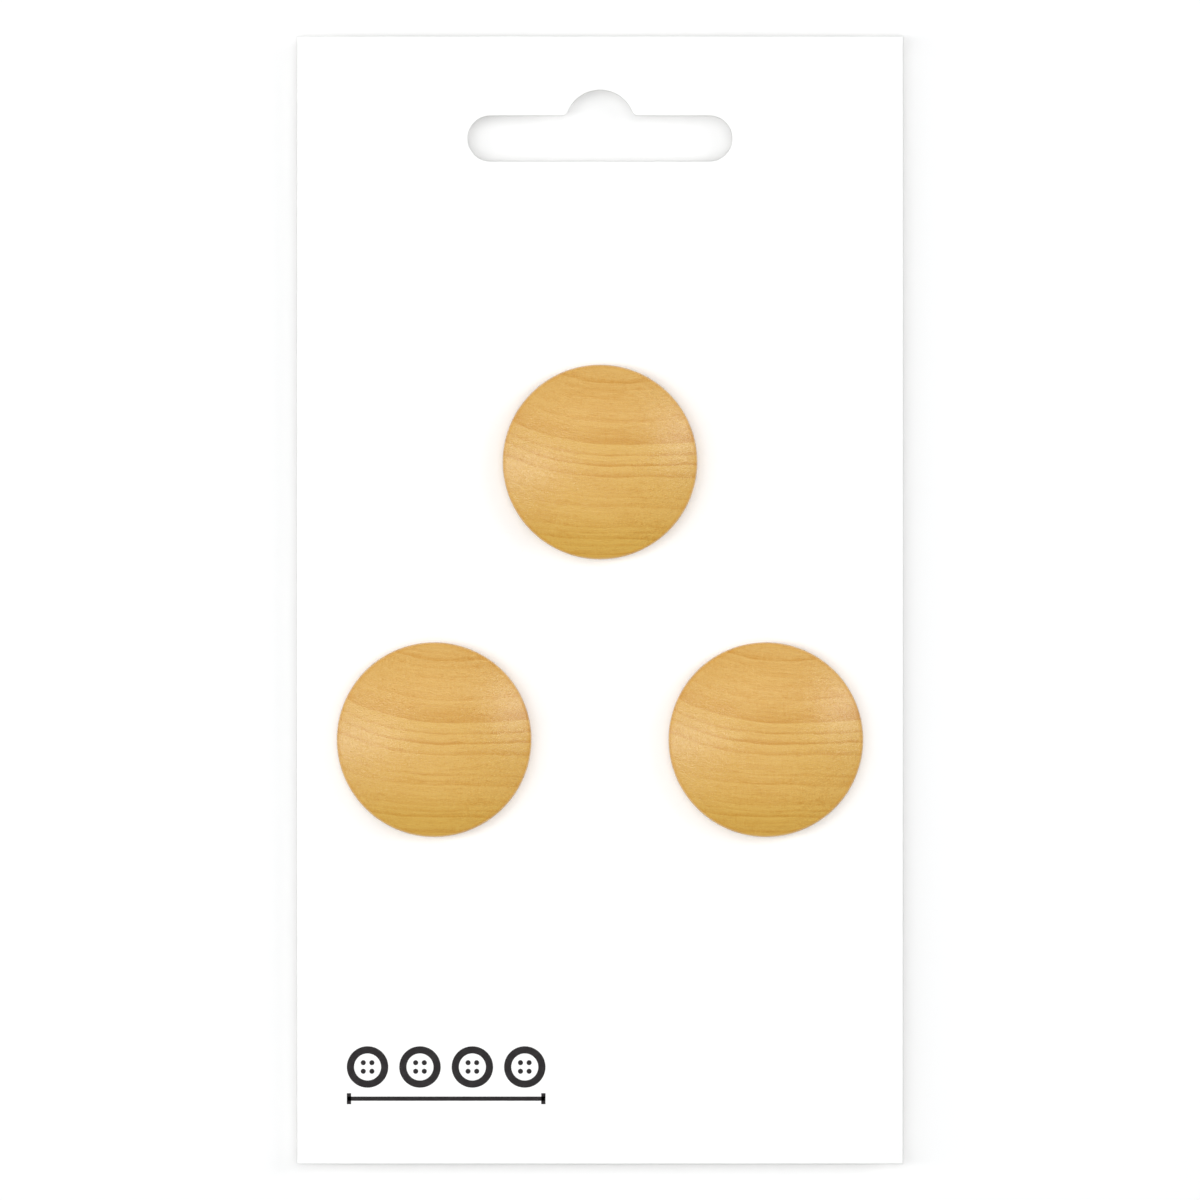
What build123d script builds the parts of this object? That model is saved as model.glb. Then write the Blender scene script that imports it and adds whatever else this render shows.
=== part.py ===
from build123d import *
import os

# Hang card of three domed wooden buttons, lying face up as it comes to rest.
#
# Each button is a turned wooden head with a bent wire eye glued into its flat back. The eye reaches
# through a round hole punched in the card, and a wire pin behind the card passes through it and holds
# the button on. The card hangs from a peg by a long slot with an arch in its upper edge.
#
# Millimetres, +Z up. X runs across the card and Y up it, towards the hang slot. The origin is under the
# middle of the card, on the surface that the three wire eyes stand on.

# Card
card_width = 71.7
card_height = 133.4
card_thickness = 0.5

# Hang slot: a long slot with round ends, with an arch in the middle of its upper edge
slot_length = 31.3
slot_height = 5.4
slot_below_top = 12.1  # from the card's top edge down to the slot's centreline
arch_radius = 4.1
arch_above_slot = 1.65  # from the slot's centreline up to the arch's centre
arch_corner_radius = 0.7  # where the arch runs out into the slot's upper edge

# Turned heads
head_diameter = 23.0
head_thickness = 5.2
rim_height = 2.2  # from the flat back up to the start of the dome
back_edge_radius = 0.8
front_edge_radius = 0.6

# Wire eyes: two legs glued into the head, joined by a round loop
eye_wire = 1.2
eye_opening = 2.8
leg_depth = 2.8  # of each leg in the head
glue_gap = 0.05  # all round a leg

# Holding pins: straight wire with a hook at one end and a slight crook at the other
pin_wire = 1.2
pin_shank = 11.0  # straight wire between the hook and the crook
hook_radius = 1.6  # of the wire's centreline
hook_return = 1.4  # straight wire after the hook's bend
crook_radius = 2.4
crook_angle = 28.0
crook_tip = 1.6  # straight wire after the crook's bend

# Fits between the pieces
hole_clearance = 0.4  # round an eye, in the hole punched in the card
free_play = 0.2  # between the card and the heads

# Layout on the card: one button above two
upper_y = 16.3
lower_y = -16.5
side_margin = 4.75  # from the lower heads' rims to the card's sides
top_turn = 9.0  # of each button's eye and pin, in degrees
left_turn = -6.0
right_turn = 4.0

head_radius = head_diameter / 2
lower_x = card_width / 2 - side_margin - head_radius
buttons = {
    "top": (0, upper_y, top_turn),
    "left": (-lower_x, lower_y, left_turn),
    "right": (lower_x, lower_y, right_turn),
}

# Each eye stands on the surface, its pin lies in its loop, and the card lies on the pins
pin_centre_z = eye_wire + pin_wire / 2
card_back_z = eye_wire + pin_wire
head_back_z = card_back_z + card_thickness + free_play
head_front_z = head_back_z + head_thickness
leg_end_z = head_back_z + leg_depth

slot_y = card_height / 2 - slot_below_top
arch_y = slot_y + arch_above_slot
leg_offset = (eye_opening + eye_wire) / 2
loop_centre_z = leg_offset + eye_wire / 2
punched_radius = leg_offset + eye_wire / 2 + hole_clearance

os.makedirs("parts", exist_ok=True)

# The die-cut card, with its hang slot and a punched hole behind each button
with BuildPart() as backing_card:
    with BuildSketch(Plane.XY.offset(card_back_z)) as card_outline:
        Rectangle(card_width, card_height)
        with Locations((0, slot_y)):
            SlotOverall(slot_length, slot_height, mode=Mode.SUBTRACT)
        with BuildLine():
            arch = CenterArc((0, arch_y), arch_radius, 0, 180)
            Polyline(arch @ 1, (-arch_radius, slot_y), (arch_radius, slot_y), arch @ 0)
        make_face(mode=Mode.SUBTRACT)
        arch_corners = card_outline.vertices().sort_by_distance((0, slot_y + slot_height / 2))[:2]
        fillet(arch_corners, arch_corner_radius)
        for x, y, turn in buttons.values():
            with Locations((x, y)):
                Circle(punched_radius, mode=Mode.SUBTRACT)
    extrude(amount=card_thickness)
backing_card.part.label = "backing_card"
export_step(backing_card.part, "parts/backing_card.step")

for place, (x, y, turn) in buttons.items():
    # Planes on the button's axis: level, upright along its pin, and upright across it
    level = Plane(Location((x, y, 0), (0, 0, turn)))
    along_pin = Plane(origin=level.origin, x_dir=level.x_dir, z_dir=-level.y_dir)
    across_pin = Plane(origin=level.origin, x_dir=level.y_dir, z_dir=level.x_dir)

    # The turned head, with two blind holes in its back for the eye's legs
    with BuildPart() as head:
        with BuildSketch(along_pin) as half_section:
            with BuildLine():
                back = Line((0, head_back_z), (head_radius, head_back_z))
                rim = Line(back @ 1, (head_radius, head_back_z + rim_height))
                dome = TangentArc((0, head_front_z), rim @ 1, tangent=(1, 0))
                Line(dome @ 0, back @ 0)
            make_face()
            front_corner = half_section.vertices().sort_by_distance(rim @ 1)[0]
            fillet(front_corner, front_edge_radius)
            back_corner = half_section.vertices().sort_by_distance(rim @ 0)[0]
            fillet(back_corner, back_edge_radius)
        revolve(axis=Axis((x, y, 0), (0, 0, 1)))
        with BuildSketch(level.offset(head_back_z)):
            with Locations((0, leg_offset), (0, -leg_offset)):
                Circle(eye_wire / 2 + glue_gap)
        extrude(amount=leg_depth, mode=Mode.SUBTRACT)
    head.part.label = f"button_{place}"
    export_step(head.part, f"parts/button_{place}.step")

    # The wire eye
    with BuildPart() as eye:
        with BuildLine(across_pin):
            leg = Line((leg_offset, leg_end_z), (leg_offset, loop_centre_z))
            loop = CenterArc((0, loop_centre_z), leg_offset, 0, -180)
            Line(loop @ 1, (-leg_offset, leg_end_z))
        with BuildSketch(Plane(origin=leg @ 0, z_dir=leg % 0)):
            Circle(eye_wire / 2)
        sweep()
    eye.part.label = f"eye_{place}"
    export_step(eye.part, f"parts/eye_{place}.step")

    # The holding pin
    with BuildPart() as pin:
        with BuildLine(level.offset(pin_centre_z)):
            shank_end = pin_shank / 2
            tail = Line((shank_end - hook_return, 2 * hook_radius), (shank_end, 2 * hook_radius))
            hook = JernArc(tail @ 1, tail % 1, hook_radius, -180)
            shank = Line(hook @ 1, (-shank_end, 0))
            crook = JernArc(shank @ 1, shank % 1, crook_radius, crook_angle)
            PolarLine(crook @ 1, crook_tip, direction=crook % 1)
        with BuildSketch(Plane(origin=tail @ 0, z_dir=tail % 0)):
            Circle(pin_wire / 2)
        sweep()
    pin.part.label = f"pin_{place}"
    export_step(pin.part, f"parts/pin_{place}.step")
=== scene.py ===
import math

import bmesh
import bpy
from bpy.props import FloatProperty, FloatVectorProperty, IntProperty, PointerProperty
from bpy.types import Operator, Panel, PropertyGroup
from mathutils import Euler, Matrix, Vector


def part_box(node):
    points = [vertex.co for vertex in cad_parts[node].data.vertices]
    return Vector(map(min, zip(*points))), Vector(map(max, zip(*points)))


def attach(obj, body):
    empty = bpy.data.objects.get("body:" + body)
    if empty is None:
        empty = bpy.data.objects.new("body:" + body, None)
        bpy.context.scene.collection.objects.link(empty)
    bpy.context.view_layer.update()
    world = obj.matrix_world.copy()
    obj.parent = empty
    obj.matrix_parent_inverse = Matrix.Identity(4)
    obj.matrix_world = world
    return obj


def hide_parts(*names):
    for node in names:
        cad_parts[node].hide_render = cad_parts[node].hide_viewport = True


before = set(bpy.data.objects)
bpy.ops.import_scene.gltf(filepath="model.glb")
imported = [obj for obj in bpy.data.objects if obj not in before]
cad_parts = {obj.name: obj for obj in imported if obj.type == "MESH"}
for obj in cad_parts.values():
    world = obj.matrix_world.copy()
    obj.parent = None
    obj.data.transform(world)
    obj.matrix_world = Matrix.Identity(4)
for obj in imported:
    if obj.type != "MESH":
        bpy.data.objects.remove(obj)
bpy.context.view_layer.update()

bl_info = {
    "name": "Card of Buttons",
    "version": (1, 0, 0),
    "blender": (4, 5, 0),
    "location": "3D View > Sidebar > Card of Buttons",
    "description": "Builds a hang card with three domed wooden shank buttons",
    "category": "Add Mesh",
}

MM = 0.001
PLACES = ("top", "left", "right")

# The growth rings across each head's face, counted from the line through its middle: the height at which
# a ring's dark late wood stops, how deep its dark band is above that, and how dark it gets. Millimetres.
UPPER_RINGS = (
    (0.6, 0.4, 0.55),
    (1.97, 2.4, 0.58),
    (4.6, 0.8, 0.3),
    (6.1, 0.6, 0.08),
    (7.3, 0.5, 0.1),
    (8.3, 0.7, 0.2),
    (9.2, 0.6, 0.5),
    (11.4, 0.7, 0.3),
)
LOWER_RINGS = (
    (-0.5, 0.35, 0.75),
    (-1.85, 0.6, 0.55),
    (-3.5, 0.4, 0.15),
    (-4.3, 0.4, 0.3),
    (-5.4, 0.8, 0.33),
    (-7.8, 1.4, 0.25),
    (-8.5, 0.3, 0.3),
    (-9.2, 0.5, 0.5),
    (-10.0, 0.4, 0.2),
    (-11.0, 0.6, 0.45),
)
RING_REACH = 12.0  # the height that the ring lists cover on each side of the middle
RING_EDGE = 0.045  # half the width of a ring's sharp edge
PALE_LINE = 0.32  # how pale the line next to a faint ring's edge gets

# Where the rings leave the straight, and how sharply they bend from there
LEFT_BEND_START, LEFT_BEND = 1.9, 0.098
RIGHT_BEND_START, RIGHT_BEND = 2.0, 0.11
RING_LEAN = 0.3  # how far the rings lean for each millimetre below the face
SLOW_WANDER, QUICK_WANDER = 0.5, 0.14  # how far they wander from their course, in millimetres

# How much each pattern darkens the wood
FIBRE_DEPTH = 1.6
CLOUD_DEPTH = 0.5
RAY_DEPTH = 0.9
GRIT_DEPTH = 1.1
PORE_DEPTH = 0.5
BASE_DEPTH = 0.2
GRAIN_RELIEF = 0.034 * MM
HEAD_SHIFT = 3.7  # moves the fine grain from one head to the next

WIRE_SIDES = 28


def node_centre(name):
    """The middle of a CAD node's box."""
    low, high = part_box(name)
    return (low + high) / 2


# ---------------------------------------------------------------------------
# Sizes and colours
# ---------------------------------------------------------------------------


def length(name, description, default):
    return FloatProperty(
        name=name,
        description=description,
        default=default,
        min=0.0,
        precision=5,
        subtype="DISTANCE",
        unit="LENGTH",
    )


def angle(name, description, degrees):
    return FloatProperty(
        name=name, description=description, default=math.radians(degrees), subtype="ANGLE", unit="ROTATION"
    )


def colour(name, description, default):
    return FloatVectorProperty(
        name=name, description=description, default=default, size=3, min=0.0, max=1.0, subtype="COLOR"
    )


def share(name, description, default, top=1.0):
    return FloatProperty(
        name=name, description=description, default=default, min=0.0, max=top, subtype="FACTOR"
    )


class StageSettings(PropertyGroup):
    lens: FloatProperty(
        name="Lens", description="Focal length", default=400.0, min=1.0, subtype="DISTANCE_CAMERA"
    )
    picture_width: length("Picture width", "Width that the camera takes in at the card", 141.978 * MM)
    floor_size: length("Floor", "Side of the square floor", 8.0)
    camera_light: share("Camera light", "Level of the light beside the camera", 0.32, 4.0)
    front_light: share("Front light", "Level of the wide soft light above the card", 0.5, 4.0)
    left_light: share("Left light", "Level of the soft light at the left", 0.18, 4.0)
    right_light: share("Right light", "Level of the soft light at the right", 0.11, 4.0)
    surround: share("Surround", "Level of the even light from all round", 0.18, 4.0)


class CardSettings(PropertyGroup):
    slot_length: length("Slot length", "Length of the hang slot over its round ends", 31.3 * MM)
    slot_height: length("Slot height", "Height of the hang slot", 5.4 * MM)
    slot_drop: length("Slot drop", "From the card's top edge to the slot's centreline", 12.1 * MM)
    arch_radius: length("Arch radius", "Radius of the arch above the slot", 4.1 * MM)
    arch_rise: length("Arch rise", "From the slot's centreline up to the arch's centre", 1.65 * MM)
    arch_corner: length("Arch corner", "Radius where the arch runs into the slot", 0.7 * MM)
    hole_radius: length("Hole radius", "Radius of the holes behind the buttons", 3.0 * MM)
    front_round: length("Front rounding", "How far the knife rounds the front edges", 0.09 * MM)
    back_round: length("Back rounding", "Rounding of the back edges", 0.03 * MM)
    front_colour: colour("Front", "Colour of the coated front", (0.96, 0.96, 0.955))
    back_colour: colour("Back", "Colour of the uncoated back", (0.87, 0.86, 0.825))
    core_colour: colour("Core", "Colour of the cut edge", (0.84, 0.82, 0.77))


class PrintSettings(PropertyGroup):
    left: length("Left margin", "From the card's left side to the print", 5.9 * MM)
    bottom: length("Bottom margin", "From the card's lower edge to the print", 7.1 * MM)
    ring_size: length("Button drawing", "Diameter of each drawn button", 4.9 * MM)
    ring_step: length("Drawing pitch", "From one drawn button to the next", 6.2 * MM)
    ring_count: IntProperty(
        name="Drawn buttons", description="How many are in the row", default=4, min=1, max=8
    )
    stroke: length("Stroke", "Width of the drawn lines", 0.85 * MM)
    row_rise: length("Row rise", "From the print's foot up to the drawn buttons", 1.9 * MM)
    hole_spread: length("Hole spread", "From a drawn button's middle to its holes", 0.72 * MM)
    hole_radius: length("Hole radius", "Radius of a drawn button's holes", 0.3 * MM)
    bar_rise: length("Bar rise", "From the print's foot up to the size bar", 0.35 * MM)
    bar_depth: length("Bar", "Thickness of the size bar and its ticks", 0.5 * MM)
    tick_drop: length("Tick drop", "How far the ticks reach below the print's foot", 0.05 * MM)
    tick_height: length("Tick height", "Height of the ticks at the bar's ends", 1.3 * MM)
    overlap: length("Overlap", "How deep the ink's lower side is sunk in the card", 0.005 * MM)
    thickness: length("Ink", "Thickness of the ink on the card", 0.02 * MM)
    ink_colour: colour("Ink colour", "Colour of the ink", (0.017, 0.014, 0.015))


class HeadSettings(PropertyGroup):
    rim_height: length("Rim height", "From the flat back to the start of the dome", 2.2 * MM)
    front_edge: length("Front edge", "Radius between the dome and the rim", 0.6 * MM)
    back_edge: length("Back edge", "Radius between the rim and the back", 0.8 * MM)
    leg_hole_radius: length("Leg hole radius", "Radius of the holes for the eye's legs", 0.65 * MM)
    leg_hole_depth: length("Leg hole depth", "Depth of the holes for the eye's legs", 2.8 * MM)
    # The pale top and deep bottom of each face are partly the wood's own tone and partly painted light at
    # the top and painted shade at the bottom
    pale_lit_colour: colour(
        "Pale wood", "Colour between the rings at the top of the face", (0.74, 0.446, 0.127)
    )
    deep_shaded_colour: colour(
        "Deep wood", "Colour between the rings at the bottom of the face", (0.673, 0.408, 0.078)
    )
    ring_shade: colour(
        "Late wood", "How much each ring's dark wood lets through", (0.84, 0.69, 0.42)
    )
    # The rim's colour is painted shade at the face's steep edge
    rim_painted_shade: colour("Rim", "How much the burnished edge lets through", (1.0, 0.93, 0.72))
    gloss: share("Roughness", "Roughness of the satin lacquer", 0.27)


class WireSettings(PropertyGroup):
    thickness: length("Wire", "Thickness of the eyes' and pins' wire", 1.2 * MM)
    nip: length("Nip", "Length that the cutters nip at a pin's end", 0.3 * MM)
    leg_spacing: length("Leg spacing", "Between the centrelines of an eye's legs", 4.0 * MM)
    hook_radius: length("Hook radius", "Radius of a pin's hook, to the wire's centreline", 1.6 * MM)
    hook_return: length("Hook return", "Straight wire after the hook", 1.4 * MM)
    shank: length("Shank", "Straight wire between the hook and the crook", 11.0 * MM)
    crook_radius: length("Crook radius", "Radius of a pin's crook", 2.4 * MM)
    crook_angle: angle("Crook angle", "How far the crook turns", 28.0)
    crook_tip: length("Crook tip", "Straight wire after the crook", 1.6 * MM)
    top_turn: angle("Top turn", "Turn of the top button's eye and pin", 9.0)
    left_turn: angle("Left turn", "Turn of the left button's eye and pin", -6.0)
    right_turn: angle("Right turn", "Turn of the right button's eye and pin", 4.0)
    plate_colour: colour("Plating", "Colour of the nickel plating", (0.66, 0.645, 0.61))
    cut_colour: colour("Cut end", "Colour of the sheared steel", (0.36, 0.34, 0.32))


# ---------------------------------------------------------------------------
# Materials
# ---------------------------------------------------------------------------


def add(tree, kind, inputs=None, **settings):
    """Adds a node. Each input is a value, or the socket that it is linked from."""
    made = tree.nodes.new(kind)
    for name, value in settings.items():
        setattr(made, name, value)
    for name, value in (inputs or {}).items():
        if isinstance(value, bpy.types.NodeSocket):
            tree.links.new(value, made.inputs[name])
        else:
            made.inputs[name].default_value = value
    return made


def calc(tree, operation, *values, clamp=False):
    """One step of arithmetic on sockets and numbers."""
    made = add(tree, "ShaderNodeMath", dict(enumerate(values)), operation=operation, use_clamp=clamp)
    return made.outputs[0]


def rescale(tree, value, low, high, to_low=0.0, to_high=1.0, smooth=False):
    """Takes low..high to to_low..to_high and stops at both ends."""
    made = add(
        tree,
        "ShaderNodeMapRange",
        {"Value": value, "From Min": low, "From Max": high, "To Min": to_low, "To Max": to_high},
        interpolation_type="SMOOTHSTEP" if smooth else "LINEAR",
    )
    return made.outputs[0]


def noise(tree, vector, scale, detail=2.0, roughness=0.5):
    made = add(
        tree,
        "ShaderNodeTexNoise",
        {"Vector": vector, "Scale": scale, "Detail": detail, "Roughness": roughness},
    )
    return made.outputs["Fac"]


def stretch(tree, vector, factors):
    """Scales each axis of a pattern's coordinates."""
    made = add(tree, "ShaderNodeVectorMath", {0: vector, 1: factors}, operation="MULTIPLY")
    return made.outputs[0]


def times(tree, first, second):
    return calc(tree, "MULTIPLY", first, second)


def swing(tree, pattern):
    """A pattern's value above or below its middle."""
    return calc(tree, "SUBTRACT", pattern, 0.5)


def combine(tree, x, y, z):
    return add(tree, "ShaderNodeCombineXYZ", {"X": x, "Y": y, "Z": z}).outputs[0]


def tint(tree, amount, first, second, how="MIX"):
    """Mixes two colours; each is three numbers or a socket."""
    made = tree.nodes.new("ShaderNodeMix")
    made.data_type = "RGBA"
    made.blend_type = how
    made.clamp_result = True
    pairs = ((made.inputs[0], amount), (made.inputs[6], first), (made.inputs[7], second))
    for socket, value in pairs:
        if isinstance(value, bpy.types.NodeSocket):
            tree.links.new(value, socket)
        elif isinstance(value, (int, float)):
            socket.default_value = value
        else:
            socket.default_value = (*value, 1.0)
    return made.outputs[2]


def ramp(tree, value, stops):
    """A grey ramp through (position, level) stops."""
    made = add(tree, "ShaderNodeValToRGB", {"Fac": value})
    elements = made.color_ramp.elements
    elements.remove(elements[1])
    first, *rest = sorted(stops)
    elements[0].position = first[0]
    elements[0].color = (first[1],) * 3 + (1.0,)
    for position, level in rest:
        elements.new(position).color = (level,) * 3 + (1.0,)
    return made.outputs["Color"]


def local_millimetres(tree, centre, turn=0.0):
    """Object coordinates in millimetres from a point."""
    object_place = tree.nodes.new("ShaderNodeTexCoord").outputs["Object"]
    moved = Euler((0, 0, turn)).to_matrix() @ (Vector(centre) / MM)
    mapping = add(
        tree,
        "ShaderNodeMapping",
        {"Vector": object_place, "Location": -moved, "Rotation": (0, 0, turn), "Scale": (1 / MM,) * 3},
    )
    return mapping.outputs[0]


def new_material(name, **values):
    """A material whose shader has the given plain values, with its tree and its shader."""
    material = bpy.data.materials.new(name)
    material.use_nodes = True
    tree = material.node_tree
    shader = tree.nodes["Principled BSDF"]
    for socket, value in values.items():
        shader.inputs[socket.replace("_", " ")].default_value = value
    return material, tree, shader


def bump(tree, shader, height, distance, strength=1.0):
    made = add(tree, "ShaderNodeBump", {"Height": height, "Distance": distance, "Strength": strength})
    tree.links.new(made.outputs[0], shader.inputs["Normal"])


def ring_stops(rings):
    """Ramp stops for rings on one side of the middle: each darkens to its edge, and a pale line follows."""
    stops = [(0.0, PALE_LINE / (1 + PALE_LINE))]
    for height, band, darkness in rings:
        outward = math.copysign(1.0, height)
        pale = PALE_LINE * (1.0 - darkness)
        for offset, level in ((-RING_EDGE, pale), (RING_EDGE, PALE_LINE + darkness), (band, PALE_LINE)):
            stops.append((min(1.0, outward * (height + offset) / RING_REACH), level / (1 + PALE_LINE)))
    return stops


def bend_beyond(tree, distance, sharpness):
    """Nought up to a line, then the square of the scaled distance past it."""
    past = calc(tree, "MAXIMUM", distance, 0.0)
    return calc(tree, "POWER", times(tree, past, sharpness), 2.0)


def ring_height(tree, x, y, z, radius_squared, dome_radius):
    """Height across the rings, which rise towards the left, open out a little towards the right, wander,
    and lean back into the wood."""
    left = bend_beyond(tree, calc(tree, "SUBTRACT", LEFT_BEND_START, x), LEFT_BEND)
    rise = times(tree, left, calc(tree, "MULTIPLY_ADD", y, 0.1, 1.5))
    right = bend_beyond(tree, calc(tree, "SUBTRACT", x, RIGHT_BEND_START), RIGHT_BEND)
    opening = times(tree, right, calc(tree, "MULTIPLY_ADD", y, 0.09, 0.108))
    below_dome = calc(tree, "MULTIPLY_ADD", radius_squared, 0.5 * MM / dome_radius, z)
    slow = noise(tree, combine(tree, times(tree, x, 0.22), y, z), 0.55, 1.0)
    quick = noise(tree, combine(tree, times(tree, x, 0.3), y, z), 1.7, 2.0)
    height = calc(tree, "SUBTRACT", calc(tree, "SUBTRACT", y, rise), opening)
    height = calc(tree, "MULTIPLY_ADD", swing(tree, slow), SLOW_WANDER, height)
    height = calc(tree, "MULTIPLY_ADD", swing(tree, quick), QUICK_WANDER, height)
    return calc(tree, "MULTIPLY_ADD", below_dome, RING_LEAN, height)


def ring_darkness(tree, height):
    """The rings' dark bands and pale lines on both sides of the middle, about nought."""
    upper = calc(tree, "DIVIDE", height, RING_REACH, clamp=True)
    lower = calc(tree, "DIVIDE", height, -RING_REACH, clamp=True)
    both = calc(
        tree,
        "ADD",
        ramp(tree, upper, ring_stops(UPPER_RINGS)),
        ramp(tree, lower, ring_stops(LOWER_RINGS)),
    )
    return calc(tree, "MULTIPLY_ADD", both, 1 + PALE_LINE, -2 * PALE_LINE)


def shade(tree, amount, colour_socket, shade_colour):
    """Darkens a colour by part of a shade."""
    shaded = tint(tree, 1.0, colour_socket, shade_colour, "MULTIPLY")
    return tint(tree, amount, colour_socket, shaded)


def wood_material(name, centre, dome_radius, shift, settings):
    """Lacquered wood whose rings run across the face, as a plank's do where it is sawn near its middle."""
    material, tree, shader = new_material(
        name, Roughness=settings.gloss, IOR=1.75, Coat_Weight=0.35, Coat_Roughness=0.28
    )
    place = local_millimetres(tree, centre)
    axes = add(tree, "ShaderNodeSeparateXYZ", {"Vector": place}).outputs
    x, y, z = axes["X"], axes["Y"], axes["Z"]
    radius_squared = calc(tree, "ADD", times(tree, x, x), times(tree, y, y))
    height = ring_height(tree, x, y, z, radius_squared, dome_radius)

    # The rings fade and strengthen along their course, and are strongest at the right
    patchy = noise(tree, combine(tree, times(tree, x, 0.13), height, z), 0.9, 1.0)
    patchy = rescale(tree, patchy, 0.35, 0.62, 0.75, 1.2)
    strength = times(tree, patchy, rescale(tree, x, -9.0, 3.0, 0.75, 1.25))
    rings = times(tree, ring_darkness(tree, height), strength)

    # Fibres lie along the rings, so they show as dots where the rim cuts across them
    along = calc(tree, "MULTIPLY_ADD", x, 0.028, shift)
    fibres = noise(tree, combine(tree, along, height, z), 2.8, 5.0, 0.7)
    pores = noise(tree, combine(tree, times(tree, along, 3.6), height, z), 8.0, 2.0, 0.6)

    # Rays show in patches, as fine dashes across the fibres
    rays = noise(tree, combine(tree, calc(tree, "MULTIPLY_ADD", x, 4.5, shift), y, z), 1.2, 1.0)
    patch_place = combine(tree, calc(tree, "ADD", x, shift), times(tree, y, 1.5), z)
    patches = rescale(tree, noise(tree, patch_place, 0.25, 1.0), 0.4, 0.6)
    rays = calc(tree, "MULTIPLY_ADD", swing(tree, rays), patches, 0.5)
    grit = noise(tree, combine(tree, calc(tree, "MULTIPLY_ADD", x, 0.7, shift), y, z), 7.0, 2.0, 0.7)
    clouds = noise(tree, combine(tree, calc(tree, "MULTIPLY_ADD", x, 0.35, shift), y, z), 0.22, 1.0)

    dark = calc(tree, "MULTIPLY_ADD", times(tree, swing(tree, fibres), strength), FIBRE_DEPTH, rings)
    for pattern, depth in ((clouds, CLOUD_DEPTH), (rays, RAY_DEPTH), (grit, GRIT_DEPTH)):
        dark = calc(tree, "MULTIPLY_ADD", swing(tree, pattern), depth, dark)
    dark = calc(tree, "ADD", dark, BASE_DEPTH)

    # The wood between the rings deepens in two steps from the top of the face to the bottom: partly the
    # wood's own tone, partly painted light at the top and painted shade towards the bottom, as light from
    # above would give
    second_step = times(tree, rescale(tree, y, -5.5, -10.0, smooth=True), 0.5)
    first_step = rescale(tree, y, 6.0, 1.5, smooth=True)
    tone_and_shade_downwards = calc(tree, "MULTIPLY_ADD", first_step, 0.5, second_step)
    wood = tint(tree, tone_and_shade_downwards, settings.pale_lit_colour, settings.deep_shaded_colour)
    wood = shade(tree, dark, wood, settings.ring_shade)
    specks = rescale(tree, pores, 0.56, 0.7, 0.0, PORE_DEPTH, smooth=True)
    wood = shade(tree, specks, wood, settings.ring_shade)
    radius = calc(tree, "SQRT", radius_squared)
    # Painted shade: the rim of each face is darker and more orange, as the steep edge turned from the light
    # would look
    edge = rescale(tree, radius, 10.9, 11.35, smooth=True)
    wood = shade(tree, edge, wood, settings.rim_painted_shade)
    tree.links.new(wood, shader.inputs["Base Color"])

    rough = calc(tree, "MULTIPLY_ADD", fibres, 0.16, settings.gloss - 0.08)
    tree.links.new(rough, shader.inputs["Roughness"])
    grain = calc(tree, "ADD", fibres, calc(tree, "MULTIPLY_ADD", pores, 0.5, grit))
    bump(tree, shader, grain, GRAIN_RELIEF)
    return material


def paper_material(name, base, fleck, roughness, mottle, fibre_depth):
    """Card: a slight cloudiness, a few fibres, and a fibrous surface."""
    material, tree, shader = new_material(name, Roughness=roughness, IOR=1.45)
    place = local_millimetres(tree, (0, 0, 0))
    clouds = noise(tree, place, 0.35, 3.0, 0.6)
    tooth = noise(tree, place, 7.0, 3.0, 0.7)
    strands = []
    for turn, scale in ((0.4, 1.1), (2.3, 1.3)):
        turned = local_millimetres(tree, (3.0 * MM, 7.0 * MM, 0), turn)
        bent = add(
            tree,
            "ShaderNodeTexNoise",
            {
                "Vector": stretch(tree, turned, (0.25, 2.4, 2.0)),
                "Scale": scale,
                "Detail": 2.0,
                "Distortion": 1.5,
            },
        )
        strands.append(bent.outputs["Fac"])
    fibres = calc(tree, "MAXIMUM", *strands)
    shown = rescale(tree, fibres, 0.66, 0.8, 0.0, mottle * 2.0, smooth=True)
    base_mottled = tint(tree, times(tree, clouds, mottle), base, fleck)
    tree.links.new(tint(tree, shown, base_mottled, fleck), shader.inputs["Base Color"])
    surface = calc(tree, "MULTIPLY_ADD", fibres, 0.8, tooth)
    bump(tree, shader, surface, fibre_depth)
    return material


def edge_material(name, base, fleck):
    """The card's cut edge: pressed layers with torn fibres between them."""
    material, tree, shader = new_material(name, Roughness=0.85, IOR=1.4)
    place = local_millimetres(tree, (0, 0, 0))
    layers = noise(tree, stretch(tree, place, (1.2, 1.2, 11.0)), 1.4, 3.0, 0.65)
    tooth = noise(tree, place, 9.0, 2.0)
    shown = rescale(tree, layers, 0.4, 0.68, 0.0, 0.6)
    tree.links.new(tint(tree, shown, base, fleck), shader.inputs["Base Color"])
    bump(tree, shader, calc(tree, "ADD", layers, tooth), 0.03 * MM)
    return material


def ink_material(name, base):
    """Printing ink: near black, a little uneven where it sank into the coating."""
    material, tree, shader = new_material(name, Roughness=0.5, IOR=1.5)
    place = local_millimetres(tree, (0, 0, 0))
    patches = noise(tree, place, 1.6, 3.0, 0.6)
    grain = noise(tree, place, 12.0, 2.0)
    worn = rescale(tree, patches, 0.45, 0.75, 0.0, 0.5)
    paler = tuple(0.02 + 1.15 * c for c in base)
    tree.links.new(tint(tree, worn, base, paler), shader.inputs["Base Color"])
    tree.links.new(rescale(tree, patches, 0.3, 0.7, 0.42, 0.58), shader.inputs["Roughness"])
    bump(tree, shader, grain, 0.006 * MM)
    return material


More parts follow.
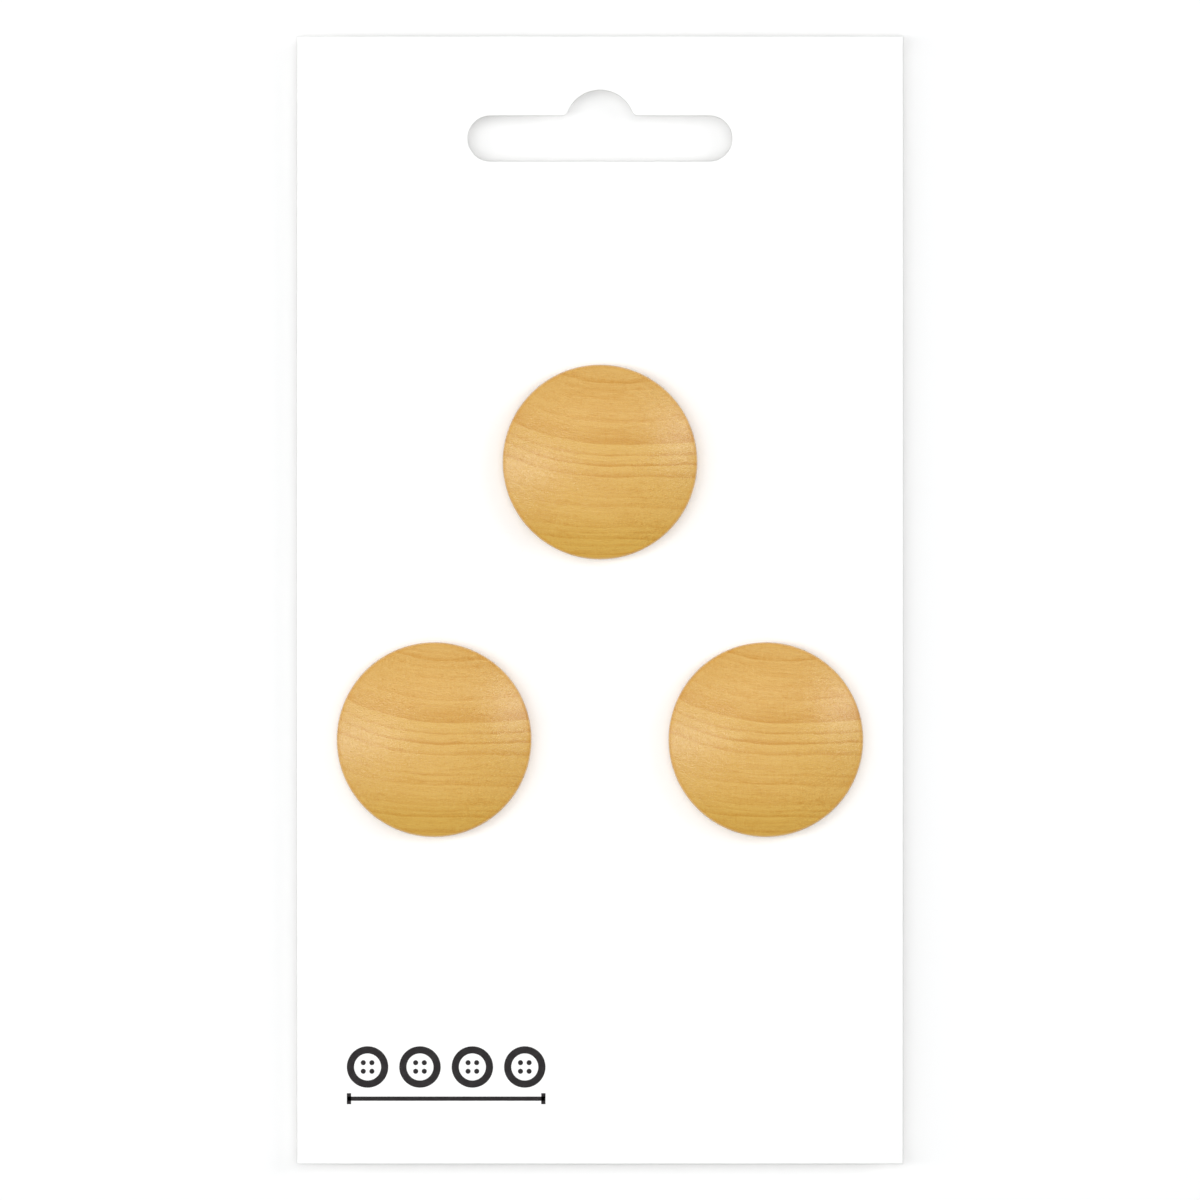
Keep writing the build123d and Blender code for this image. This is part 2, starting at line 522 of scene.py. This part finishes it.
def plated_material(name, base):
    """Nickel-plated wire: fine lines from the drawing die along it, and a light bloom here and there."""
    material, tree, shader = new_material(name, Metallic=1.0, Roughness=0.3)
    section = add(tree, "ShaderNodeAttribute", attribute_name="section").outputs["Vector"]
    place = local_millimetres(tree, (0, 0, 0))
    lines = noise(tree, section, 9.0, 3.0, 0.7)
    bloom = noise(tree, place, 0.9, 3.0, 0.6)
    grain = noise(tree, place, 14.0, 2.0)
    dull = rescale(tree, bloom, 0.42, 0.7, 0.0, 1.0, smooth=True)
    tarnished = tuple(c * k for c, k in zip(base, (0.8, 0.76, 0.68)))
    tree.links.new(tint(tree, times(tree, dull, 0.6), base, tarnished), shader.inputs["Base Color"])
    rough = calc(tree, "MULTIPLY_ADD", dull, 0.16, calc(tree, "MULTIPLY_ADD", lines, 0.16, 0.16))
    tree.links.new(rough, shader.inputs["Roughness"])
    bump(tree, shader, calc(tree, "MULTIPLY_ADD", grain, 0.3, lines), 0.012 * MM)
    return material


def cut_material(name, base):
    """Bare steel where the wire was sheared, with the marks of the blade."""
    material, tree, shader = new_material(name, Metallic=1.0, Roughness=0.5)
    place = local_millimetres(tree, (0, 0, 0))
    marks = noise(tree, stretch(tree, place, (1.0, 1.0, 9.0)), 2.2, 3.0, 0.7)
    paler = tuple(min(1.0, c * 1.5) for c in base)
    tree.links.new(tint(tree, marks, base, paler), shader.inputs["Base Color"])
    tree.links.new(rescale(tree, marks, 0.3, 0.7, 0.38, 0.62), shader.inputs["Roughness"])
    bump(tree, shader, marks, 0.03 * MM)
    return material


# ---------------------------------------------------------------------------
# Shaping
# ---------------------------------------------------------------------------


def sweep(bm, end, centre=(0, 0, 0), axis=(0, 0, 1), turn=0.0, along=(0, 0, 0), steps=1):
    """Draws a point or a section on, along a straight line or round an arc, and returns its new end."""
    made = bmesh.ops.spin(
        bm,
        geom=end,
        cent=centre,
        axis=axis,
        dvec=Vector(along) / steps,
        angle=turn,
        steps=steps,
        use_merge=False,
        use_normal_flip=False,
        use_duplicate=False,
    )
    return made["geom_last"]


def verts_of(bm_geometry):
    return [g for g in bm_geometry if isinstance(g, bmesh.types.BMVert)]


def faces_of(bm_geometry):
    return [g for g in bm_geometry if isinstance(g, bmesh.types.BMFace)]


def make_piece(bm, name, materials, node, smooth_angle=50.0):
    """Turns a finished bmesh into a piece that stands for a CAD node and rides on the card.

    All its faces are shaded smooth up to edges past the angle, or flat if the angle is nought.
    """
    bmesh.ops.remove_doubles(bm, verts=bm.verts, dist=1e-7)
    bmesh.ops.dissolve_degenerate(bm, edges=bm.edges, dist=1e-8)
    bmesh.ops.recalc_face_normals(bm, faces=bm.faces)
    mesh = bpy.data.meshes.new(name)
    bm.to_mesh(mesh)
    bm.free()
    for material in materials:
        mesh.materials.append(material)
    piece = bpy.data.objects.new(name, mesh)
    bpy.context.scene.collection.objects.link(piece)
    if smooth_angle:
        mesh.set_sharp_from_angle(angle=math.radians(smooth_angle))
    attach(piece, "root")
    if node:
        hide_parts(node)
    return piece


def start_wire(bm, thickness, matrix):
    """The first section of a round wire. Each of its points keeps its own place round the wire."""
    section = bm.verts.layers.float_vector.new("section")
    circle = bmesh.ops.create_circle(
        bm, cap_ends=True, segments=WIRE_SIDES, radius=thickness / 2, matrix=matrix
    )
    ring = circle["verts"]
    for i, vert in enumerate(ring):
        turn = 2 * math.pi * i / len(ring)
        vert[section] = (math.cos(turn), math.sin(turn), 0.0)
    return bm.faces[:]


def shear(bm, ring):
    """Nips a wire's end nearly flat, as side cutters leave it."""
    middle = sum((v.co for v in ring), Vector()) / len(ring)
    bmesh.ops.scale(bm, verts=ring, vec=(1.0, 1.0, 0.45), space=Matrix.Translation(-middle))


def set_on_button(bm, settings, place):
    """Turns a wire drawn about the origin, and moves it to its button's axis."""
    middle = node_centre(f"button_{place}")
    turn = getattr(settings, f"{place}_turn")
    matrix = Matrix.Translation((middle.x, middle.y, 0)) @ Matrix.Rotation(turn, 4, "Z")
    bmesh.ops.transform(bm, matrix=matrix, verts=bm.verts)
    for face in bm.faces:
        if len(face.verts) > 4:
            face.material_index = 1


def wire_materials(settings):
    return (
        plated_material("nickel_plated_wire", settings.plate_colour),
        cut_material("sheared_wire_end", settings.cut_colour),
    )


# ---------------------------------------------------------------------------
# Operators
# ---------------------------------------------------------------------------


class BUTTONCARD_OT_stage(Operator):
    """Sets the floor, the lights and the camera"""

    bl_idname = "buttoncard.stage"
    bl_label = "Set the Stage"

    def execute(self, context):
        settings = context.scene.buttoncard_stage
        scene = context.scene
        scene.view_settings.view_transform = "Standard"
        scene.view_settings.look = "None"

        bm = bmesh.new()
        bmesh.ops.create_grid(bm, x_segments=1, y_segments=1, size=settings.floor_size / 2)
        mesh = bpy.data.meshes.new("floor")
        bm.to_mesh(mesh)
        bm.free()
        material, tree, shader = new_material("floor_white", Roughness=0.9)
        shader.inputs["Base Color"].default_value = (0.89, 0.89, 0.89, 1.0)
        shader.inputs["Specular IOR Level"].default_value = 0.1
        mesh.materials.append(material)
        floor = bpy.data.objects.new("floor", mesh)
        scene.collection.objects.link(floor)

        self.lamp(scene, "camera_light", (0.0, 0.0), 1.3, 0.12, settings.camera_light, seen_in_gloss=False)
        self.lamp(scene, "front_light", (-0.8, 2.0), 1.3, 1.3, settings.front_light, seen_in_gloss=False)
        self.lamp(scene, "left_light", (-48.0, 0.0), 1.2, 0.3, settings.left_light, height=1.2)
        self.lamp(scene, "right_light", (50.0, 22.0), 1.2, 0.4, settings.right_light, height=0.6)

        world = bpy.data.worlds.new("surround")
        world.use_nodes = True
        background = world.node_tree.nodes["Background"]
        background.inputs["Color"].default_value = (0.94, 0.975, 1.0, 1.0)
        background.inputs["Strength"].default_value = settings.surround
        scene.world = world

        camera = bpy.data.cameras.new("camera")
        camera.lens = settings.lens
        camera.sensor_width = 36.0
        camera.clip_end = 20.0
        holder = bpy.data.objects.new("camera", camera)
        card_low, card_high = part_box("backing_card")
        distance = settings.picture_width * settings.lens / camera.sensor_width
        middle = (card_low + card_high) / 2
        holder.location = (middle.x, middle.y, card_high.z + distance)
        scene.collection.objects.link(holder)
        scene.camera = holder
        return {"FINISHED"}

    def lamp(self, scene, name, leans, distance, size, level, height=0.0, seen_in_gloss=True):
        """A soft light, round unless it has a height.

        The leans are degrees from straight above, to the right and up.
        """
        right, up = (math.radians(a) for a in leans)
        towards = Vector((math.tan(right), math.tan(up), 1.0)).normalized()
        light = bpy.data.lights.new(name, "AREA")
        light.shape = "RECTANGLE" if height else "DISK"
        light.size = size
        light.size_y = height or size
        light.energy = level * math.pi**2 * distance**2 / towards.z
        holder = bpy.data.objects.new(name, light)
        holder.location = towards * distance
        holder.rotation_euler = towards.to_track_quat("Z", "Y").to_euler()
        holder.visible_camera = False
        holder.visible_glossy = seen_in_gloss
        scene.collection.objects.link(holder)


class BUTTONCARD_OT_card(Operator):
    """Makes the die-cut card with its hang slot and three punched holes"""

    bl_idname = "buttoncard.card"
    bl_label = "Make the Card"

    def execute(self, context):
        settings = context.scene.buttoncard_card
        low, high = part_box("backing_card")
        bm = bmesh.new()

        # Outline
        corner = bmesh.ops.create_vert(bm, co=low)["vert"]
        width, height = high.x - low.x, high.y - low.y
        for along in ((width, 0, 0), (0, height, 0), (-width, 0, 0), (0, -height, 0)):
            corner = sweep(bm, corner, along=along)

        slot_middle = Vector(((low.x + high.x) / 2, high.y - settings.slot_drop, low.z))
        self.draw_slot(bm, settings, slot_middle)
        for place in PLACES:
            middle = node_centre(f"button_{place}")
            at_hole = Matrix.Translation((middle.x, middle.y, low.z))
            bmesh.ops.create_circle(
                bm, cap_ends=False, segments=72, radius=settings.hole_radius, matrix=at_hole
            )
        bmesh.ops.remove_doubles(bm, verts=bm.verts, dist=1e-7)
        filled = bmesh.ops.triangle_fill(
            bm, use_beauty=True, use_dissolve=False, edges=bm.edges, normal=(0, 0, 1)
        )

        # Thickness, with the front edges rounded by the knife and the back edges nearly sharp
        back = faces_of(filled["geom"])
        front = faces_of(bmesh.ops.extrude_face_region(bm, geom=back)["geom"])
        rise = high.z - low.z - settings.front_round
        for faces, lift in ((front, rise), (back, settings.back_round)):
            verts = list({v for f in faces for v in f.verts})
            bmesh.ops.translate(bm, verts=verts, vec=(0, 0, lift))
        bmesh.ops.recalc_face_normals(bm, faces=bm.faces)
        knife = settings.front_round
        for depth_share, width_share in ((0.62, 0.22), (0.38, 0.78)):
            self.round_off(bm, front, knife * width_share, knife * depth_share)
        self.round_off(bm, back, settings.back_round, settings.back_round)

        coated = paper_material(
            "card_coated_front",
            settings.front_colour,
            fleck=(0.9, 0.9, 0.885),
            roughness=0.5,
            mottle=0.25,
            fibre_depth=0.004 * MM,
        )
        uncoated = paper_material(
            "card_uncoated_back",
            settings.back_colour,
            fleck=(0.7, 0.67, 0.6),
            roughness=0.85,
            mottle=0.4,
            fibre_depth=0.03 * MM,
        )
        cut_edge = edge_material("card_cut_edge", settings.core_colour, fleck=(0.7, 0.66, 0.58))
        piece = make_piece(bm, "card", (coated, uncoated, cut_edge), "backing_card")

        # The coating reaches over the rounded front edge
        front_index, back_index, edge_index = range(3)
        for face in piece.data.polygons:
            up = face.normal.z
            if up > 0.2:
                face.material_index = front_index
            else:
                face.material_index = back_index if up < -0.999 else edge_index
        return {"FINISHED"}

    def round_off(self, bm, faces, width, depth):
        bmesh.ops.inset_region(
            bm,
            faces=faces,
            faces_exclude=[],
            use_boundary=True,
            use_even_offset=True,
            use_interpolate=True,
            thickness=width,
            depth=depth,
        )

    def draw_slot(self, bm, settings, middle):
        """Draws the slot's outline anticlockwise from the right-hand end of its lower edge."""
        half_height = settings.slot_height / 2
        reach = settings.slot_length / 2 - half_height
        arch, corner = settings.arch_radius, settings.arch_corner
        # Each corner arc touches the slot's top edge and the arch, and lies in the card
        corner_y = half_height + corner
        corner_x = math.sqrt((arch + corner) ** 2 - (corner_y - settings.arch_rise) ** 2)
        lean = math.atan2(corner_y - settings.arch_rise, corner_x)
        end = bmesh.ops.create_vert(bm, co=middle + Vector((reach, -half_height, 0)))["vert"]
        end = sweep(bm, end, middle + Vector((reach, 0, 0)), turn=math.pi, steps=32)
        end = sweep(bm, end, along=(corner_x - reach, 0, 0))
        corner_turn = -(math.pi / 2 - lean)
        end = sweep(bm, end, middle + Vector((corner_x, corner_y, 0)), turn=corner_turn, steps=8)
        arch_middle = middle + Vector((0, settings.arch_rise, 0))
        end = sweep(bm, end, arch_middle, turn=math.pi - 2 * lean, steps=40)
        end = sweep(bm, end, middle + Vector((-corner_x, corner_y, 0)), turn=corner_turn, steps=8)
        end = sweep(bm, end, along=(corner_x - reach, 0, 0))
        end = sweep(bm, end, middle + Vector((-reach, 0, 0)), turn=math.pi, steps=32)
        sweep(bm, end, along=(2 * reach, 0, 0))


class BUTTONCARD_OT_print(Operator):
    """Prints a row of drawn buttons and a size bar on the card"""

    bl_idname = "buttoncard.print"
    bl_label = "Print the Card"

    def execute(self, context):
        settings = context.scene.buttoncard_print
        low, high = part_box("backing_card")
        radius, stroke = settings.ring_size / 2, settings.stroke
        left, bottom = low.x + settings.left, low.y + settings.bottom
        surface = high.z - settings.overlap
        row_y = bottom + settings.row_rise + radius
        bm = bmesh.new()
        for i in range(settings.ring_count):
            middle = Vector((left + radius + i * settings.ring_step, row_y, surface))
            rings = []
            for size in (radius, radius - stroke):
                ring = bmesh.ops.create_circle(
                    bm, cap_ends=False, segments=64, radius=size, matrix=Matrix.Translation(middle)
                )
                rings += {e for v in ring["verts"] for e in v.link_edges}
            bmesh.ops.bridge_loops(bm, edges=rings)
            for turn in (45, 135, 225, 315):
                turned = Matrix.Rotation(math.radians(turn), 4, "Z")
                spot = Matrix.Translation(middle + turned @ Vector((settings.hole_spread, 0, 0)))
                bmesh.ops.create_circle(
                    bm, cap_ends=True, segments=24, radius=settings.hole_radius, matrix=spot
                )
        width = (settings.ring_count - 1) * settings.ring_step + settings.ring_size
        bar = settings.bar_depth
        self.block(bm, (left, bottom + settings.bar_rise, surface), (width, bar))
        for end in (left, left + width - bar):
            self.block(bm, (end, bottom - settings.tick_drop, surface), (bar, settings.tick_height))
        top = bmesh.ops.extrude_face_region(bm, geom=bm.faces)["geom"]
        rise = settings.thickness + settings.overlap
        bmesh.ops.translate(bm, verts=verts_of(top), vec=(0, 0, rise))
        ink = ink_material("printing_ink", settings.ink_colour)
        make_piece(bm, "printed_mark", (ink,), None, smooth_angle=0)
        return {"FINISHED"}

    def block(self, bm, corner, size):
        """A flat rectangle from its lower left corner."""
        middle = Vector(corner) + Vector((size[0] / 2, size[1] / 2, 0))
        shape = Matrix.Translation(middle) @ Matrix.Diagonal((size[0], size[1], 1, 1))
        bmesh.ops.create_grid(bm, x_segments=1, y_segments=1, size=0.5, matrix=shape)


class BUTTONCARD_OT_heads(Operator):
    """Turns the three domed wooden heads"""

    bl_idname = "buttoncard.heads"
    bl_label = "Turn the Heads"

    def execute(self, context):
        settings = context.scene.buttoncard_heads
        wires = context.scene.buttoncard_wires
        for index, place in enumerate(PLACES):
            node = f"button_{place}"
            low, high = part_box(node)
            centre = (low + high) / 2
            radius = (high.x - low.x) / 2
            rim_top = low.z + settings.rim_height
            dome_rise = high.z - rim_top
            dome_radius = (radius**2 + dome_rise**2) / (2 * dome_rise)
            bm = bmesh.new()
            self.turn_head(bm, settings, centre, radius, low.z, high.z, dome_radius)
            self.drill(bm, settings, wires, centre, low.z, getattr(wires, f"{place}_turn"))
            top = (centre.x, centre.y, high.z)
            material = wood_material(f"wood_{place}", top, dome_radius, HEAD_SHIFT * index, settings)
            make_piece(bm, f"head_{place}", (material,), node)
        return {"FINISHED"}

    def turn_head(self, bm, settings, centre, radius, back_z, front_z, dome_radius):
        """Draws half the head's outline from its face to its back, and turns it once round."""
        edge, back_edge = settings.front_edge, settings.back_edge
        dome_centre = Vector((centre.x, centre.y, front_z - dome_radius))
        edge_lean = math.asin((radius - edge) / (dome_radius - edge))
        edge_centre = dome_centre + Vector((radius - edge, 0, (dome_radius - edge) * math.cos(edge_lean)))
        end = bmesh.ops.create_vert(bm, co=(centre.x, centre.y, front_z))["vert"]
        across = (0, 1, 0)
        end = sweep(bm, end, dome_centre, across, edge_lean, steps=36)
        end = sweep(bm, end, edge_centre, across, math.pi / 2 - edge_lean, steps=10)
        drop = edge_centre.z - back_z - back_edge
        end = sweep(bm, end, along=(0, 0, -drop), steps=3)
        back_centre = (centre.x + radius - back_edge, centre.y, back_z + back_edge)
        end = sweep(bm, end, back_centre, across, math.pi / 2, steps=8)
        inner = 3.4 * MM  # the back is closed inside this radius when its holes are drilled
        sweep(bm, end, along=(inner - radius + back_edge, 0, 0), steps=8)
        bmesh.ops.remove_doubles(bm, verts=bm.verts, dist=1e-7)
        bmesh.ops.spin(
            bm,
            geom=bm.verts[:] + bm.edges[:],
            cent=centre,
            axis=(0, 0, 1),
            angle=2 * math.pi,
            steps=144,
            use_merge=True,
            use_normal_flip=False,
            use_duplicate=False,
        )
        bmesh.ops.remove_doubles(bm, verts=bm.verts, dist=1e-7)

    def drill(self, bm, settings, wires, centre, back_z, turn):
        """Closes the back round the two holes for the eye's legs, and sinks them into the wood."""
        back_rim = [e for e in bm.edges if e.is_boundary]
        spots = []
        for side in (1, -1):
            leg = Matrix.Rotation(turn, 4, "Z") @ Vector((0, side * wires.leg_spacing / 2, 0))
            matrix = Matrix.Translation(Vector((centre.x, centre.y, back_z)) + leg)
            circle = bmesh.ops.create_circle(
                bm, cap_ends=False, segments=32, radius=settings.leg_hole_radius, matrix=matrix
            )
            spots.append(list({e for v in circle["verts"] for e in v.link_edges}))
        rims = back_rim + spots[0] + spots[1]
        bmesh.ops.triangle_fill(bm, use_beauty=True, use_dissolve=False, edges=rims, normal=(0, 0, -1))
        for spot in spots:
            walls = bmesh.ops.extrude_edge_only(bm, edges=spot)["geom"]
            bmesh.ops.translate(bm, verts=verts_of(walls), vec=(0, 0, settings.leg_hole_depth))
            floor_rim = [g for g in walls if isinstance(g, bmesh.types.BMEdge) and g.is_boundary]
            bmesh.ops.edgeloop_fill(bm, edges=floor_rim)


class BUTTONCARD_OT_eyes(Operator):
    """Bends the three wire eyes that are glued into the heads"""

    bl_idname = "buttoncard.eyes"
    bl_label = "Bend the Eyes"

    def execute(self, context):
        settings = context.scene.buttoncard_wires
        materials = wire_materials(settings)
        for place in PLACES:
            low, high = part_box(f"eye_{place}")
            side = settings.leg_spacing / 2
            loop_z = low.z + settings.thickness / 2 + side
            bm = bmesh.new()
            end = start_wire(bm, settings.thickness, Matrix.Translation((0, side, high.z)))
            end = sweep(bm, end, along=(0, 0, loop_z - high.z), steps=4)
            end = sweep(bm, end, (0, 0, loop_z), (1, 0, 0), -math.pi, steps=32)
            sweep(bm, end, along=(0, 0, high.z - loop_z), steps=4)
            set_on_button(bm, settings, place)
            make_piece(bm, f"wire_eye_{place}", materials, f"eye_{place}")
        return {"FINISHED"}


class BUTTONCARD_OT_pins(Operator):
    """Bends the three wire pins that hold the buttons on from behind the card"""

    bl_idname = "buttoncard.pins"
    bl_label = "Bend the Pins"

    def execute(self, context):
        settings = context.scene.buttoncard_wires
        materials = wire_materials(settings)
        for place in PLACES:
            z = node_centre(f"pin_{place}").z
            reach, hook, crook = settings.shank / 2, settings.hook_radius, settings.crook_radius
            nip = settings.nip
            across = Matrix.Rotation(math.pi / 2, 4, "Y")
            tail = Vector((reach - settings.hook_return, 2 * hook, z))
            bm = bmesh.new()
            end = start_wire(bm, settings.thickness, Matrix.Translation(tail) @ across)
            tail_ring = list(end[0].verts)
            end = sweep(bm, end, along=(nip, 0, 0))
            end = sweep(bm, end, along=(settings.hook_return - nip, 0, 0), steps=2)
            end = sweep(bm, end, (reach, hook, z), turn=-math.pi, steps=28)
            end = sweep(bm, end, along=(-2 * reach, 0, 0), steps=8)
            end = sweep(bm, end, (-reach, -crook, z), turn=settings.crook_angle, steps=8)
            onward = Matrix.Rotation(settings.crook_angle, 3, "Z") @ Vector((-1, 0, 0))
            end = sweep(bm, end, along=onward * (settings.crook_tip - nip), steps=2)
            end = sweep(bm, end, along=onward * nip)
            for ring in (tail_ring, verts_of(end)):
                shear(bm, ring)
            set_on_button(bm, settings, place)
            make_piece(bm, f"wire_pin_{place}", materials, f"pin_{place}")
        return {"FINISHED"}


# ---------------------------------------------------------------------------
# Panel
# ---------------------------------------------------------------------------

OPERATORS = (
    BUTTONCARD_OT_stage,
    BUTTONCARD_OT_card,
    BUTTONCARD_OT_print,
    BUTTONCARD_OT_heads,
    BUTTONCARD_OT_eyes,
    BUTTONCARD_OT_pins,
)
SETTINGS = {
    "buttoncard_stage": StageSettings,
    "buttoncard_card": CardSettings,
    "buttoncard_print": PrintSettings,
    "buttoncard_heads": HeadSettings,
    "buttoncard_wires": WireSettings,
}


class BUTTONCARD_PT_panel(Panel):
    """Lists the steps that build the card of buttons"""

    bl_label = "Card of Buttons"
    bl_idname = "BUTTONCARD_PT_panel"
    bl_space_type = "VIEW_3D"
    bl_region_type = "UI"
    bl_category = "Card of Buttons"

    def draw(self, context):
        for operator in OPERATORS:
            self.layout.operator(operator.bl_idname)
        for name, kind in SETTINGS.items():
            box = self.layout.box()
            for setting in kind.__annotations__:
                box.prop(getattr(context.scene, name), setting)


def register():
    for kind in (*SETTINGS.values(), *OPERATORS, BUTTONCARD_PT_panel):
        bpy.utils.register_class(kind)
    for name, kind in SETTINGS.items():
        setattr(bpy.types.Scene, name, PointerProperty(type=kind))


def unregister():
    for name in SETTINGS:
        delattr(bpy.types.Scene, name)
    for kind in reversed((*SETTINGS.values(), *OPERATORS, BUTTONCARD_PT_panel)):
        bpy.utils.unregister_class(kind)


def main():
    register()
    bpy.ops.buttoncard.stage()
    bpy.ops.buttoncard.card()
    bpy.ops.buttoncard.print()
    bpy.ops.buttoncard.heads()
    bpy.ops.buttoncard.eyes()
    bpy.ops.buttoncard.pins()


if __name__ == "__main__":
    main()
